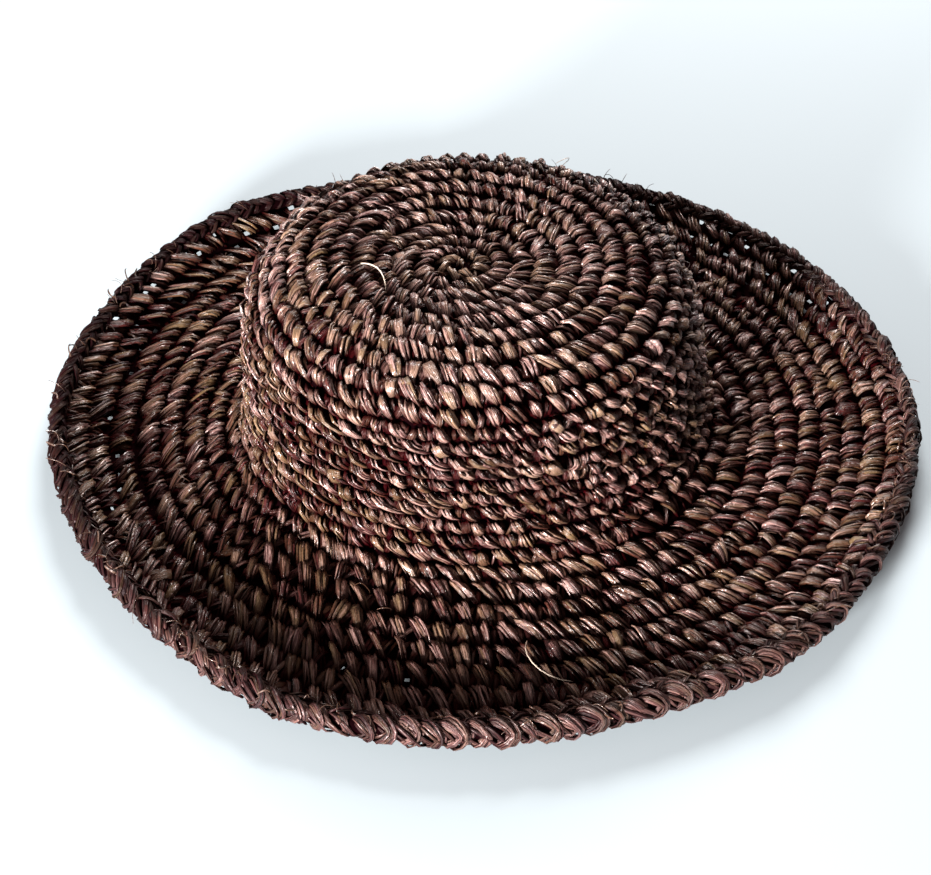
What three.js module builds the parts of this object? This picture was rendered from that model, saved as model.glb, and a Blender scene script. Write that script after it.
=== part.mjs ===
// Wide-brimmed sun hat crocheted from raffia in one spiral, modelled as three closed solids:
// the crown with its sunken tip, the brim that turns up at the rim, and the braid that edges it.
// Lengths are millimetres, +Z is up, the hat stands on z = 0 and its front faces -Y.
import * as THREE from "three";

// Fabric
const fabricThickness = 5.5;
const grooveDepth = 1.3; // valley between two crochet rounds on the outer face
const underGrooveDepth = 0.6; // the same valley on the inner face
const azimuthSteps = 48;

// Seams between the solids, counted in crochet rounds from the centre of the tip
const crownEndRound = 20.8;
const brimStartRound = 20.835;
const brimEndRound = 28.5;

// The underside of the brim lies level on the table between these two rounds
const restStartRound = 22.5;
const restEndRound = 25.5;

// Braid round the rim: an oval section beyond the last round of the brim
const braidHalfDepth = 4.4;
const braidHalfHeight = 4.8;
const braidGap = 0.3;
const braidSides = 10;

// Puts the middle of the whole outline over the origin
const middleShift = new THREE.Vector2(-0.3, 2.34);

// The crown leans: the centre of the tip lies this far off the middle of the brim
const tipShift = new THREE.Vector2(-11, -5);

// Each row is one section of the fabric's outer face, from the tip centre to the rim.
// round: crochet rounds from the centre; radius and height: the average round the hat;
// frontOut, sideOut, rightOut: how much wider it is at the front, at both sides, at the right;
// frontUp, rightUp: how much higher; lean: share of tipShift; rim: share of the rim table.
const sectionColumns = [
  "round",
  "radius",
  "height",
  "frontOut",
  "frontUp",
  "sideOut",
  "rightOut",
  "rightUp",
  "lean",
  "rim",
];
const sections = {
  tipCentre: [0, 0, 101.5, 0, 0, 0, 0, 0, 1, 0],
  dishFloor: [2, 15.5, 100.5, 0.5, 1.5, 1, -0.5, 0, 0.96, 0],
  dishSide: [4, 31.5, 101, 0.5, 3, 1.5, -0.5, -0.5, 0.91, 0],
  ridge: [6, 49.5, 102.5, 1, 3, 2, -0.5, -0.5, 0.87, 0],
  ridgeFall: [7.5, 62.5, 101.5, 1, 2, 2.5, -0.5, 0, 0.83, 0],
  shoulder: [9, 75, 97.5, 1, 1.5, 2.5, 0, 1, 0.8, 0],
  shoulderTurn: [10.5, 84.5, 89, 0, 0.5, 2.5, 0.5, 2.5, 0.69, 0],
  upperWall: [13, 89, 69, -1.5, 0.5, 4.5, 0, 2, 0.51, 0],
  middleWall: [16, 90, 44, -1.5, 0.5, 7, -1, 1, 0.3, 0],
  lowerWall: [19, 92.5, 19.5, -0.5, 0.5, 8.5, -1.5, 0.5, 0.1, 0],
  wallFoot: [20.5, 98, 9, -1, 0, 10, -0.5, 0, 0, 0],
  brimRoot: [22, 110.5, 6, -1.5, 0, 11, 0.5, 0, 0, 0],
  innerBrim: [24, 129, 6, -1.5, 0, 11, 1, 0, 0, 0.05],
  outerBrim: [26, 147, 6.2, -1, 0, 10.5, 1, 0, 0, 0.25],
  turnUp: [27.5, 160.5, 9.2, 0, 0, 9.5, 0.5, 0, 0, 0.6],
  lastRound: [28.3, 167, 12.4, 0.5, -0.5, 8.5, 0, -0.5, 0, 0.85],
  rimEdge: [29.1, 173.5, 16.5, 1, -1, 8, -0.5, -1, 0, 1],
};

// Waves of the rim: azimuth in degrees counter-clockwise from +X, out and up in millimetres
const rimColumns = ["azimuth", "out", "up"];
const rimRows = [
  [0, 4.5, -1],
  [22.5, 1.5, 0],
  [45, -2, -1],
  [67.5, -4.5, -1.5],
  [90, -2, -0.5],
  [112.5, -5.5, -2],
  [135, 2.5, 0],
  [157.5, 1, 0.5],
  [180, 3.5, 0],
  [202.5, -1, 0.5],
  [225, -0.5, -0.5],
  [247.5, 4.5, -0.5],
  [270, 2, 0],
  [292.5, -1.5, 0.5],
  [315, 2, 0],
  [337.5, 0, -0.5],
];

const sectionRows = Object.values(sections);
const roundColumn = sectionColumns.indexOf("round");
const roundStarts = sectionRows.map((row) => row[roundColumn]);

// Slope of one column at a section, weighted by the spacing of its neighbours
function columnSlope(index, column) {
  const before = Math.max(index - 1, 0);
  const after = Math.min(index + 1, sectionRows.length - 1);
  const rise = (a, b) =>
    (sectionRows[b][column] - sectionRows[a][column]) / (roundStarts[b] - roundStarts[a]);
  if (before === index) return rise(index, after);
  if (after === index) return rise(before, index);
  const spanBefore = roundStarts[index] - roundStarts[before];
  const spanAfter = roundStarts[after] - roundStarts[index];
  const weighted = rise(before, index) * spanAfter + rise(index, after) * spanBefore;
  return weighted / (spanBefore + spanAfter);
}

// A smooth row of the section table at any round
const sectionCache = new Map();
function sectionAt(round) {
  if (sectionCache.has(round)) return sectionCache.get(round);
  let index = 0;
  while (index < sectionRows.length - 2 && roundStarts[index + 1] <= round) index += 1;
  const span = roundStarts[index + 1] - roundStarts[index];
  const t = (round - roundStarts[index]) / span;
  const startShare = 2 * t ** 3 - 3 * t ** 2 + 1;
  const startSlopeShare = (t ** 3 - 2 * t ** 2 + t) * span;
  const endSlopeShare = (t ** 3 - t ** 2) * span;
  const row = {};
  sectionColumns.forEach((name, column) => {
    const start = sectionRows[index][column];
    const end = sectionRows[index + 1][column];
    row[name] =
      start * startShare +
      end * (1 - startShare) +
      columnSlope(index, column) * startSlopeShare +
      columnSlope(index + 1, column) * endSlopeShare;
  });
  sectionCache.set(round, row);
  return row;
}

// A smooth value of a column of the rim table at any azimuth
function rimWave(azimuth, name) {
  const column = rimColumns.indexOf(name);
  const count = rimRows.length;
  const turn = (THREE.MathUtils.radToDeg(azimuth) / 360) * count;
  const index = Math.floor(turn);
  const t = turn - index;
  const value = (offset) => rimRows[(((index + offset) % count) + count) % count][column];
  const [a, b, c, d] = [-1, 0, 1, 2].map(value);
  const cubic = (3 * b - a - 3 * c + d) * t ** 3;
  const square = (2 * a - 5 * b + 4 * c - d) * t ** 2;
  return 0.5 * (2 * b + (c - a) * t + square + cubic);
}

// Point of the fabric's outer face, on the crest line of the rounds
function facePoint(azimuth, round) {
  const row = sectionAt(round);
  const front = -Math.sin(azimuth);
  const right = Math.cos(azimuth);
  const side = Math.cos(2 * azimuth);
  const radius =
    row.radius +
    row.frontOut * front +
    row.sideOut * side +
    row.rightOut * right +
    row.rim * rimWave(azimuth, "out");
  const height =
    row.height + row.frontUp * front + row.rightUp * right + row.rim * rimWave(azimuth, "up");
  return new THREE.Vector3(
    radius * Math.cos(azimuth) + row.lean * tipShift.x + middleShift.x,
    radius * Math.sin(azimuth) + row.lean * tipShift.y + middleShift.y,
    height,
  );
}

// Direction of growth of the fabric, from one round to the next
function outwardTangent(azimuth, round) {
  const step = 0.02;
  const inner = facePoint(azimuth, round - step);
  return facePoint(azimuth, round + step).sub(inner).normalize();
}

// Direction out of the fabric's outer face
function faceNormal(azimuth, round) {
  const step = 0.01;
  const across = facePoint(azimuth + step, round).sub(facePoint(azimuth - step, round));
  return outwardTangent(azimuth, round).cross(across).normalize();
}

// Depth of the valley between rounds: none on a whole round, full half way between two
function valley(round, depth) {
  return depth * Math.sin(Math.PI * round) ** 2;
}

function outerPoint(azimuth, round) {
  const inset = valley(round, grooveDepth);
  return facePoint(azimuth, round).addScaledVector(faceNormal(azimuth, round), -inset);
}

function innerPoint(azimuth, round) {
  const inset = fabricThickness - valley(round, underGrooveDepth);
  const point = facePoint(azimuth, round).addScaledVector(faceNormal(azimuth, round), -inset);
  const resting = round >= restStartRound && round <= restEndRound;
  point.z = resting ? 0 : Math.max(point.z, 0);
  return point;
}

// Rounds from first to last in even steps, with the last one always included
function roundsBetween(first, last, step) {
  const rounds = [];
  for (let round = first; round < last - 0.1; round += step) rounds.push(round);
  rounds.push(last);
  return rounds;
}

function ring(pointAt, round) {
  return Array.from({ length: azimuthSteps }, (_, i) =>
    pointAt((2 * Math.PI * i) / azimuthSteps, round),
  );
}

// Surface through a list of rings. Poles close its two ends; without poles the last ring
// joins the first one, so the surface is a closed hoop.
function skinRings(rings, poles) {
  const positions = rings.flat().flatMap((point) => point.toArray());
  const indices = [];
  const corner = (ringIndex, i) => ringIndex * azimuthSteps + (i % azimuthSteps);
  const pairs = poles ? rings.length - 1 : rings.length;
  for (let r = 0; r < pairs; r += 1) {
    const next = (r + 1) % rings.length;
    for (let i = 0; i < azimuthSteps; i += 1) {
      indices.push(corner(r, i), corner(next, i), corner(next, i + 1));
      indices.push(corner(r, i), corner(next, i + 1), corner(r, i + 1));
    }
  }
  if (poles) {
    const firstPole = positions.length / 3;
    const lastPole = firstPole + 1;
    const lastRing = rings.length - 1;
    positions.push(...poles[0].toArray(), ...poles[1].toArray());
    for (let i = 0; i < azimuthSteps; i += 1) {
      indices.push(firstPole, corner(0, i), corner(0, i + 1));
      indices.push(lastPole, corner(lastRing, i + 1), corner(lastRing, i));
    }
  }
  const geometry = new THREE.BufferGeometry();
  geometry.setAttribute("position", new THREE.Float32BufferAttribute(positions, 3));
  geometry.setIndex(indices);
  geometry.computeVertexNormals();
  return geometry;
}

function makeRaffia(color) {
  return new THREE.MeshStandardMaterial({ color, roughness: 0.62, metalness: 0 });
}

// Crown: outer face from the tip centre down to the foot of the wall, then back up inside
function makeCrown() {
  const outerRings = roundsBetween(1, crownEndRound, 0.5).map((r) => ring(outerPoint, r));
  const innerRings = roundsBetween(2, crownEndRound, 1).map((r) => ring(innerPoint, r));
  const outerPole = facePoint(0, 0);
  const innerPole = facePoint(0, 0);
  innerPole.z -= fabricThickness;
  const geometry = skinRings([...outerRings, ...innerRings.reverse()], [outerPole, innerPole]);
  const crown = new THREE.Mesh(geometry, makeRaffia(0x4a2f27));
  crown.name = "crown";
  return crown;
}

// Brim: a hoop whose upper face is ribbed like the crown and whose underside has a level band
function makeBrim() {
  const upperRounds = [brimStartRound, ...roundsBetween(21.5, brimEndRound, 0.5)];
  const underRounds = [brimEndRound, 28, 27, 26.2, restEndRound, 24, restStartRound, 21.8];
  const rings = [
    ...upperRounds.map((r) => ring(outerPoint, r)),
    ...underRounds.map((r) => ring(innerPoint, r)),
    ring(innerPoint, brimStartRound),
  ];
  const brim = new THREE.Mesh(skinRings(rings, null), makeRaffia(0x44291f));
  brim.name = "brim";
  return brim;
}

// Point of the braid's oval section; its middle follows the middle of the brim's last round
function braidPoint(azimuth, angle) {
  const tangent = outwardTangent(azimuth, brimEndRound);
  const normal = faceNormal(azimuth, brimEndRound);
  return facePoint(azimuth, brimEndRound)
    .addScaledVector(normal, -fabricThickness / 2 + braidHalfHeight * Math.sin(angle))
    .addScaledVector(tangent, braidHalfDepth + braidGap + braidHalfDepth * Math.cos(angle));
}

// Braid that edges the rim
function makeBrimEdge() {
  const rings = Array.from({ length: braidSides }, (_, side) => {
    const angle = Math.PI - (2 * Math.PI * side) / braidSides;
    return ring((azimuth) => braidPoint(azimuth, angle), 0);
  });
  const edge = new THREE.Mesh(skinRings(rings, null), makeRaffia(0x553a30));
  edge.name = "brim_edge";
  return edge;
}

const hat = new THREE.Group();
hat.name = "sun_hat";
hat.add(makeCrown(), makeBrim(), makeBrimEdge());

export default hat;
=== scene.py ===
import math
import bmesh
import bpy
import numpy as np
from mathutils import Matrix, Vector


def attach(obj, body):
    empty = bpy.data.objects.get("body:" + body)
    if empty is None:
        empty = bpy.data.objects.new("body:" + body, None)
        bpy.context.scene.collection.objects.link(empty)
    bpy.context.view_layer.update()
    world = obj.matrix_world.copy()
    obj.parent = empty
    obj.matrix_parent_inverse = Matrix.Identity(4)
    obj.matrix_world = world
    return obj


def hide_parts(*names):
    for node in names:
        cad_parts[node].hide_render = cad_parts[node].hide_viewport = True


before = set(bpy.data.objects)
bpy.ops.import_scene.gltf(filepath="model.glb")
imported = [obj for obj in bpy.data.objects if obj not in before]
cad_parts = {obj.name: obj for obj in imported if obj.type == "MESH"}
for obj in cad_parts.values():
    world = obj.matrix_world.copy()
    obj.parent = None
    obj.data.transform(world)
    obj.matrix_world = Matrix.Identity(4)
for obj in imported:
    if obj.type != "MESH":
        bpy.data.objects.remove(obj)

mm = 0.001
degree = math.pi / 180
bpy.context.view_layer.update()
luck = np.random.default_rng(41)

# The hat's outer face, from the tip's centre to the rim, is one smooth surface over two values:
# the azimuth, counter-clockwise from +X, and the round, which counts crochet rounds from the centre.
# Each row is one section. radius and height are averages round the hat, in millimetres; the next
# columns widen or raise it at the front, both sides and the right; lean and rim are shares.
hatSurface = {
    "tipShift": (-11, -5),          # the tip's centre off the middle of the brim
    "middleShift": (-0.3, 2.34),
    "fabricThickness": 5.5,
    "crownEnd": 20.8,               # rounds
    "brimEnd": 28.5,
    "columns": ("round", "radius", "height", "frontOut", "frontUp", "sideOut", "rightOut", "rightUp",
                "lean", "rim"),
    "sections": (
        (0, 0, 101.5, 0, 0, 0, 0, 0, 1, 0),                         # tip centre
        (2, 15.5, 100.5, 0.5, 1.5, 1, -0.5, 0, 0.96, 0),            # dish floor
        (4, 31.5, 101, 0.5, 3, 1.5, -0.5, -0.5, 0.91, 0),           # dish side
        (6, 49.5, 102.5, 1, 3, 2, -0.5, -0.5, 0.87, 0),             # ridge
        (7.5, 62.5, 101.5, 1, 2, 2.5, -0.5, 0, 0.83, 0),            # fall of the ridge
        (9, 75, 97.5, 1, 1.5, 2.5, 0, 1, 0.8, 0),                   # shoulder
        (10.5, 84.5, 89, 0, 0.5, 2.5, 0.5, 2.5, 0.69, 0),           # turn of the shoulder
        (13, 89, 69, -1.5, 0.5, 4.5, 0, 2, 0.51, 0),                # upper wall
        (16, 90, 44, -1.5, 0.5, 7, -1, 1, 0.3, 0),                  # middle wall
        (19, 92.5, 19.5, -0.5, 0.5, 8.5, -1.5, 0.5, 0.1, 0),        # lower wall
        (20.5, 98, 9, -1, 0, 10, -0.5, 0, 0, 0),                    # foot of the wall
        (22, 110.5, 6, -1.5, 0, 11, 0.5, 0, 0, 0),                  # root of the brim
        (24, 129, 6, -1.5, 0, 11, 1, 0, 0, 0.05),                   # inner brim
        (26, 147, 6.2, -1, 0, 10.5, 1, 0, 0, 0.25),                 # outer brim
        (27.5, 160.5, 9.2, 0, 0, 9.5, 0.5, 0, 0, 0.6),              # turn up
        (28.3, 167, 12.4, 0.5, -0.5, 8.5, 0, -0.5, 0, 0.85),        # last round
        (29.1, 173.5, 16.5, 1, -1, 8, -0.5, -1, 0, 1),              # edge of the rim
    ),
    # waves of the rim every 22.5 degrees from +X
    "rimOut": (4.5, 1.5, -2, -4.5, -2, -5.5, 2.5, 1, 3.5, -1, -0.5, 4.5, 2, -1.5, 2, 0),
    "rimUp": (-1, 0, -1, -1.5, -0.5, -2, 0, 0.5, 0, 0.5, -0.5, -0.5, 0, 0.5, 0, -0.5),
}


def cubicRow(x, knots, values):
    # smooth curve through the knots, with slopes weighted by the spans beside each knot
    spans = np.diff(knots)
    rises = np.diff(values) / spans
    slopes = np.empty(len(knots))
    slopes[0], slopes[-1] = rises[0], rises[-1]
    slopes[1:-1] = (rises[:-1] * spans[1:] + rises[1:] * spans[:-1]) / (spans[:-1] + spans[1:])
    i = np.clip(np.searchsorted(knots, x, side="right") - 1, 0, len(spans) - 1)
    t = (x - knots[i]) / spans[i]
    start = 2 * t**3 - 3 * t**2 + 1
    bends = (t**3 - 2 * t**2 + t) * slopes[i] + (t**3 - t**2) * slopes[i + 1]
    return values[i] * start + values[i + 1] * (1 - start) + spans[i] * bends


sectionTable = np.array(hatSurface["sections"], float)
fineRounds = np.arange(0, 30.5, 0.02)
fineSections = {
    name: cubicRow(fineRounds, sectionTable[:, 0], sectionTable[:, column])
    for column, name in enumerate(hatSurface["columns"])
}
fineTurn = np.linspace(0, 2 * math.pi, 721)


def rimCurve(values):
    ring = np.array(values, float)
    knots = np.arange(-3, len(ring) + 4) * 2 * math.pi / len(ring)
    return cubicRow(fineTurn, knots, np.take(ring, np.arange(-3, len(ring) + 4), mode="wrap"))


fineRim = {"out": rimCurve(hatSurface["rimOut"]), "up": rimCurve(hatSurface["rimUp"])}


def facePoint(azimuth, rnd):
    # point of the outer face, in metres
    row = {name: np.interp(rnd, fineRounds, fineSections[name]) for name in hatSurface["columns"]}
    front, right, side = -np.sin(azimuth), np.cos(azimuth), np.cos(2 * azimuth)
    out = row["rim"] * np.interp(azimuth, fineTurn, fineRim["out"], period=2 * math.pi)
    up = row["rim"] * np.interp(azimuth, fineTurn, fineRim["up"], period=2 * math.pi)
    radius = row["radius"] + row["frontOut"] * front + row["sideOut"] * side + row["rightOut"] * right + out
    height = row["height"] + row["frontUp"] * front + row["rightUp"] * right + up
    x = radius * right + row["lean"] * hatSurface["tipShift"][0] + hatSurface["middleShift"][0]
    y = radius * -front + row["lean"] * hatSurface["tipShift"][1] + hatSurface["middleShift"][1]
    return np.stack([x, y, height], -1) * mm


def unit(vectors):
    return vectors / np.maximum(np.linalg.norm(vectors, axis=-1, keepdims=True), 1e-12)


def faceFrame(azimuth, rnd):
    # point, direction along the round, direction to the next round, and normal of the outer face
    turn, step = 0.02, 0.05
    rnd = np.maximum(rnd, 0.1)
    point = facePoint(azimuth, rnd)
    along = facePoint(azimuth + turn, rnd) - facePoint(azimuth - turn, rnd)
    outward = facePoint(azimuth, rnd + step) - facePoint(azimuth, rnd - step)
    reach = np.linalg.norm(along, axis=-1) / (2 * turn)     # metres per radian
    pitch = np.linalg.norm(outward, axis=-1) / (2 * step)   # metres per round
    normal = unit(np.cross(outward, along))
    return point, unit(along), unit(outward), normal, reach, pitch


# The rounds are one spiral that starts at the tip's centre and ends at the back left of the rim,
# where the last round runs out and the rounds under it ease outwards.
spiral = {
    "frontAzimuth": 270 * degree,   # the rounds are counted from the front
    "endAzimuth": 124 * degree,
    "startCount": 0.3, "endCount": 28.594, "countStep": 0.002,
    "jog": 0.8,                     # the rounds step out by this much at endAzimuth
    "jogTurn": 8 * degree,          # half the turn that the step takes
    "jogRounds": (21.5, 28),        # it grows from the first to the second
    "stretch": 0.28,                # the last rounds reach out over the braid's inner side
}


def smoothStep(x, low, high):
    t = np.clip((x - low) / (high - low), 0, 1)
    return t * t * (3 - 2 * t)


def jogShift(azimuth, count):
    turn = np.mod(azimuth - spiral["endAzimuth"] + math.pi, 2 * math.pi) - math.pi
    saw = np.sign(turn) * 0.5 - turn / (2 * math.pi)        # falls through the turn, jumps at the end
    softened = saw * np.clip(np.abs(turn) / spiral["jogTurn"], 0, 1)
    return (spiral["jog"] * softened + spiral["stretch"]) * smoothStep(count, *spiral["jogRounds"])


def spiralAzimuth(count):
    return spiral["frontAzimuth"] + 2 * math.pi * count


def spiralRound(count, azimuth):
    return count + jogShift(azimuth, count)


# Strands: each is a closed sliver, made once and then bent along its path. Its section is a flat
# ribbon with a crowned top, or a simpler one with a ridge on top, given by its corners' angles.
sliverCorners = {"ribbon": (38, 142, 200, 340), "ridged": (90, 210, 330)}
sliverTip = 0.05                # share of the length over which each end narrows to a point
sliverSection = (1.8, 1.5)      # width and height of the section that is scaled to a strand's own


def makeSliver(section, cuts):
    corners = np.array(sliverCorners[section]) * degree
    sliver = bmesh.new()
    bmesh.ops.create_cone(sliver, cap_ends=True, cap_tris=True, segments=len(corners), radius1=0.5,
                          radius2=0.5, depth=1)
    long = [e for e in sliver.edges if abs(e.verts[0].co.z - e.verts[1].co.z) > 0.5]
    bmesh.ops.subdivide_edges(sliver, edges=long, cuts=cuts)
    bmesh.ops.triangulate(sliver, faces=sliver.faces)
    sliver.verts.index_update()
    co = np.array([v.co[:] for v in sliver.verts])
    faces = np.array([[v.index for v in f.verts] for f in sliver.faces])
    sliver.free()
    middle = np.hypot(co[:, 0], co[:, 1]) < 0.1             # the two cap centres become the tips
    along = co[:, 2] + 0.5
    along = np.where(middle, along, sliverTip + (1 - 2 * sliverTip) * along)
    stops = np.unique(np.round(along, 4))
    stopOf = np.searchsorted(stops, np.round(along, 4))
    turn = np.arctan2(co[:, 1], co[:, 0])
    turn = np.mod(turn - turn[np.argmax(~middle)] + 0.01, 2 * math.pi)
    corner = (turn / (2 * math.pi) * len(corners)).astype(int)
    turn = corners[corner]
    size = np.where(middle, 0, 1)
    return {"stops": stops, "stopOf": stopOf, "across": np.cos(turn) * size, "lift": np.sin(turn) * size,
            "along": along, "faces": faces}


def spread(low, high, shape):
    return luck.uniform(low, high, shape)


def bendSlivers(sliver, paths, normals, width, thickness, roll, profile):
    # paths and normals are (strand, stop, xyz); the profile is the share of the width at each stop
    stopOf = sliver["stopOf"]
    heading = unit(np.gradient(paths, axis=1))
    sideways = unit(np.cross(heading, normals))
    upward = np.cross(sideways, heading)
    cosRoll, sinRoll = np.cos(roll)[..., None], np.sin(roll)[..., None]
    sideways, upward = sideways * cosRoll + upward * sinRoll, upward * cosRoll - sideways * sinRoll
    wide = (width * profile)[:, stopOf, None] / sliverSection[0]
    thick = (thickness * np.ones_like(profile))[:, stopOf, None] / sliverSection[1]
    return (
        paths[:, stopOf]
        + sideways[:, stopOf] * wide * sliver["across"][None, :, None]
        + upward[:, stopOf] * thick * sliver["lift"][None, :, None]
    )


# Pinholes between the stitches of the outer brim, all seen from above the front of the hat
pinholes = {
    "columns": ("count", "firstAzimuth", "lastAzimuth", "firstRound", "lastRound"),
    "zones": (
        (50, 118, 172, 24.6, 28.7),     # back left
        (30, 22, 62, 24.8, 28.7),       # back right
        (6, 174, 204, 26.2, 28.7),      # left
        (2, 206, 290, 26.2, 28.0),      # front left
    ),
    "tries": 60,                        # places tried for each hole; those with the fewest strands are used
    "stops": 4,                         # points of a strand that the places are tried against
    "radius": 0.3, "apart": 5,          # millimetres
    "near": 12,                         # a strand whose middle is farther away doesn't reach the hole
    "axisElevation": 47 * degree,
}


def sightLine(points):
    # coordinates across the pinholes' axis, in metres
    elevation = pinholes["axisElevation"]
    up = points[..., 1] * math.sin(elevation) + points[..., 2] * math.cos(elevation)
    return np.stack([points[..., 0], up], -1)


def crossHoles(paths, holes, room):
    # which strands pass through a hole, and how many pass through each; room is half a strand's width
    flat = sightLine(paths)
    start, span = flat[:, :-1], np.diff(flat, axis=1)
    squares = np.maximum((span**2).sum(-1), 1e-12)
    crossed = np.zeros(len(paths), bool)
    crossings = np.zeros(len(holes), int)
    middle = flat.mean(1)
    for i, hole in enumerate(holes):
        close = np.flatnonzero(np.abs(middle - hole).max(-1) < pinholes["near"] * mm)
        t = (((hole - start[close]) * span[close]).sum(-1) / squares[close]).clip(0, 1)
        away = np.linalg.norm(start[close] + span[close] * t[..., None] - hole, axis=-1).min(-1)
        through = close[away < pinholes["radius"] * mm + room[close]]
        crossed[through] = True
        crossings[i] = len(through)
    return crossed, crossings


def choosePinholes(batches):
    paths = []
    for batch in batches:
        last = batch["paths"].shape[1] - 1
        paths.append(batch["paths"][:, np.linspace(0, last, pinholes["stops"]).round().astype(int)])
    paths = np.concatenate(paths)
    room = np.concatenate([batch["width"] for batch in batches]) / 2
    chosen = []
    for zone in pinholes["zones"]:
        row = dict(zip(pinholes["columns"], zone))
        tries = row["count"] * pinholes["tries"]
        azimuth = spread(row["firstAzimuth"], row["lastAzimuth"], tries) * degree
        rnd = spread(row["firstRound"], row["lastRound"], tries)
        places = sightLine(facePoint(azimuth, rnd))
        _, crossings = crossHoles(paths, places, room)
        kept = []
        for place in places[np.argsort(crossings, kind="stable")]:
            if len(kept) == row["count"]:
                break
            if all(np.hypot(*(place - other)) > pinholes["apart"] * mm for other in kept):
                kept.append(place)
        chosen += kept
    return np.array(chosen)


def openPinholes(batch, holes):
    crossed, _ = crossHoles(batch["paths"], holes, batch["width"] / 2)
    perStrand = ("bent", "paths", "seed", "width", "tone", "khaki", "depth")
    return batch | {name: batch[name][~crossed] for name in perStrand}


fibreShift = (97, 311)          # each strand lies on its own part of the fibre pattern, millimetres


def joinSlivers(batches):
    # batches of bent slivers become one set of arrays: points, faces, fibre coordinates, shades
    points, faces, fibres, shades = [], [], [], []
    start = 0
    for batch in batches:
        sliver, bent = batch["sliver"], batch["bent"]
        count, verts = bent.shape[:2]
        points.append(bent.reshape(-1, 3))
        offset = (np.arange(count) * verts + start)[:, None, None]
        faces.append((sliver["faces"] + offset).reshape(-1, 3))
        length = np.linalg.norm(np.diff(batch["paths"], axis=1), axis=-1).sum(1)
        u = sliver["along"] * length[:, None] / mm + batch["seed"][:, None] * fibreShift[0]
        v = sliver["across"] * batch["width"][:, None] / mm / 2 + batch["seed"][:, None] * fibreShift[1]
        fibres.append(np.stack([u, v], -1).reshape(-1, 2))
        ones = np.ones((count, verts))
        shade = [
            batch["tone"][:, None] * ones,
            batch["khaki"][:, None] * ones,
            (0.5 + 0.5 * sliver["across"]) * ones,
            batch["depth"][:, sliver["stopOf"]],
        ]
        shades.append(np.stack(shade, -1).reshape(-1, 4))
        start += count * verts
    return [np.concatenate(part) for part in (points, faces, fibres, shades)]


def addObject(name, data):
    thing = bpy.data.objects.new(name, data)
    bpy.context.scene.collection.objects.link(thing)
    return thing


def addPiece(name, mesh, material):
    piece = addObject(name, mesh)
    mesh.materials.append(material)
    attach(piece, "root")
    print(name, sum(len(p.vertices) - 2 for p in mesh.polygons), "triangles")
    return piece


def strandPiece(name, batches, material):
    points, faces, fibres, shades = joinSlivers(batches)
    mesh = bpy.data.meshes.new(name)
    mesh.vertices.add(len(points))
    mesh.vertices.foreach_set("co", points.astype(np.float32).ravel())
    mesh.loops.add(faces.size)
    mesh.loops.foreach_set("vertex_index", faces.astype(np.int32).ravel())
    mesh.polygons.add(len(faces))
    mesh.polygons.foreach_set("loop_start", np.arange(0, faces.size, 3, dtype=np.int32))
    mesh.update(calc_edges=True)
    mesh.validate()
    mesh.polygons.foreach_set("use_smooth", np.ones(len(faces), bool))
    layer = mesh.uv_layers.new(name="fibre")
    layer.data.foreach_set("uv", fibres[faces.ravel()].astype(np.float32).ravel())
    shade = mesh.attributes.new("shade", "FLOAT_COLOR", "POINT")
    shade.data.foreach_set("color", shades.astype(np.float32).ravel())
    return addPiece(name, mesh, material)


# Stitches: a leading leg that arches over the round from its inner side and slants
# counter-clockwise, and a shorter leg under it that runs nearly straight outwards.
stitch = {
    "spacing": 8.7,                 # along the round
    "spacingJitter": 0.45, "firstStop": 0.4,
    "pitch": 9,                     # from round to round
    "turnJitter": 12 * degree,
    "coarse": 0.8,                  # some bundles have fewer and broader strands
    "sizeJitter": 0.12, "sizeLimit": 0.2,
    "wander": 0.07,                 # slow drift of a round's line, in rounds
    "wanderWaves": (47.1, 2.2, 13.3), "wanderRounds": (1, 4),
    "roundJitter": 0.03,
    "placeJitter": 0.25,            # of a strand in its bundle, in half bundle widths
    "endJitter": 0.09,              # in rounds
    "bow": 0.35, "stray": 0.8,      # strands bend sideways and part
    "strayFrom": 0.3, "twistFrom": 0.4,     # shares of their length where they cross and lie level
    "easeIn": 1.1,                  # power that their way across the round rises by
    "sizeLift": 2,                  # how much higher a stitch of twice the size would stand
    "shadeHeights": (-2.1, 1.4),    # painted shade: a strand is darkest at the first height and lit from the second
    "under": 5.3,                   # the inner face lies this far under the outer one
    "deepest": 3.9,                 # no strand of the outer face lies deeper
    "clearance": 0.9,               # height of the lowest strands' middles over the table
    "floorGap": 0.03,               # and of their lowest points
    "broader": 1.6,                 # some strands are this much broader
    "paintedGlintShare": 0.075, "paleWidth": 0.5,       # others are narrow, with a pale tone that is a painted glint
    "raised": 0.3,                  # both lie this much higher
    "rollJitter": 0.25, "twist": 0.45,
    "profileAt": (0, 0.05, 0.3, 0.7, 1), "profile": (0.5, 0.8, 1.1, 0.95, 0.4),     # of the width
    "coarseGaps": 8, "wideGaps": 6,             # coarse and wide bundles miss more strands
    "knot": (0.2, 1.4), "knotSize": 0.7,        # the first stitches, in khaki, grow to full size
    "flatRounds": 1.9, "leastRadius": 9,        # the first rounds are too tight to bend a stitch along
    # shares of these sizes at some of the rounds: the tip's stitches are short, the wall's narrow
    "rounds": (0, 6, 8, 11, 19, 22, 29),
    "roomShare": (0.72, 0.76, 0.86, 1, 1, 1, 1),
    "slantShare": (0.9, 0.9, 0.9, 0.82, 0.82, 1.1, 1.25),
    "fanShare": (1, 1, 0.95, 0.8, 0.8, 0.92, 1),
    "turnShare": (1.7, 1.5, 1.2, 1, 1, 1, 1.1),
    "lengthShare": (1, 1, 0.97, 0.9, 0.9, 1, 1),
    "widthShare": (1.05, 1.05, 1.1, 1.3, 1.3, 1.15, 1.05),
}
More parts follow.
